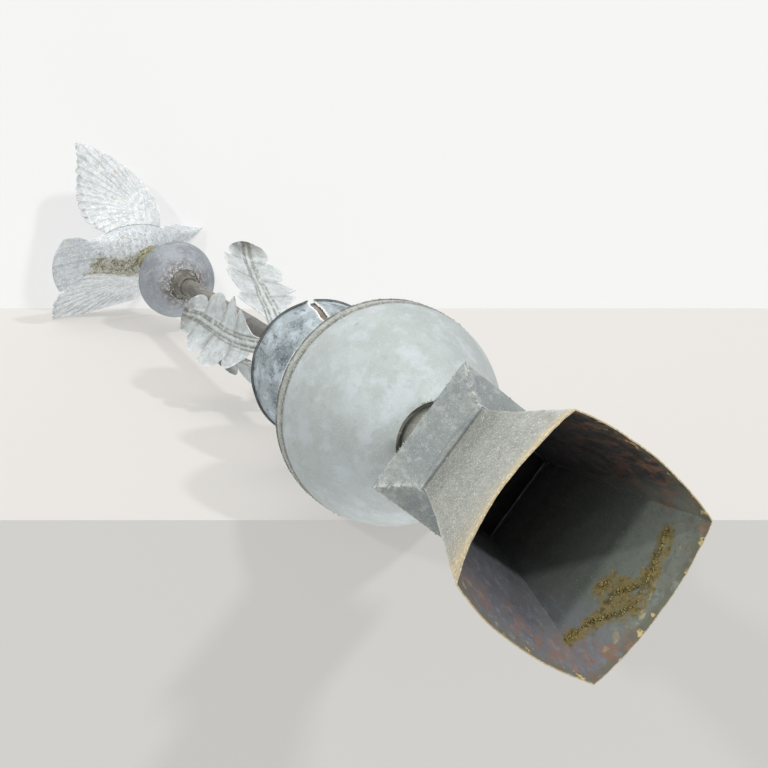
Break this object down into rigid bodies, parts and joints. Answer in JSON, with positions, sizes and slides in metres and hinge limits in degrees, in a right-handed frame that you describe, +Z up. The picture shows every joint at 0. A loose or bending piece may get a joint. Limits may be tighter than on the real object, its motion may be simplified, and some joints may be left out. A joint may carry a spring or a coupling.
{
  "type": "roof finial",
  "caption": "Tall sheet zinc roof finial: a square flared boot and collar, a globe, a cup with oak leaves round a long stem, a ball and a dove with raised wings.",
  "frame": {"origin": "on the stem's axis, in the plane of the boot's rim, where the roof post enters", "axes": "+Z up the stem from the boot to the dove; +X and +Y are square to the boot's sides; the dove faces between +X and +Y"},
  "size_m": [0.3828, 0.4544, 2.1521],
  "materials": {
    "zinc": "weathered matt zinc sheet",
    "pale_zinc": "weathered matt pale zinc sheet",
    "dark_zinc": "weathered matt dark zinc sheet",
    "brown_stem": "dull brown grey tube",
    "crust": "rough solder and dirt"
  },
  "bodies": {
    "root": {"boot": "zinc", "waist_band": "zinc", "collar": "zinc", "collar_roof": "zinc", "neck": "pale_zinc", "globe_bowl": "pale_zinc", "globe_dome": "zinc", "cup": "dark_zinc", "cup_cover": "dark_zinc", "stem": "brown_stem", "leaf_1": "pale_zinc", "leaf_2": "pale_zinc", "leaf_3": "pale_zinc", "leaf_4": "pale_zinc", "ball_lower": "dark_zinc", "ball_upper": "dark_zinc", "dove_stub": "crust", "dove_body": "zinc", "dove_right_wing": "pale_zinc", "dove_left_wing": "pale_zinc"}
  },
  "joints": []
}
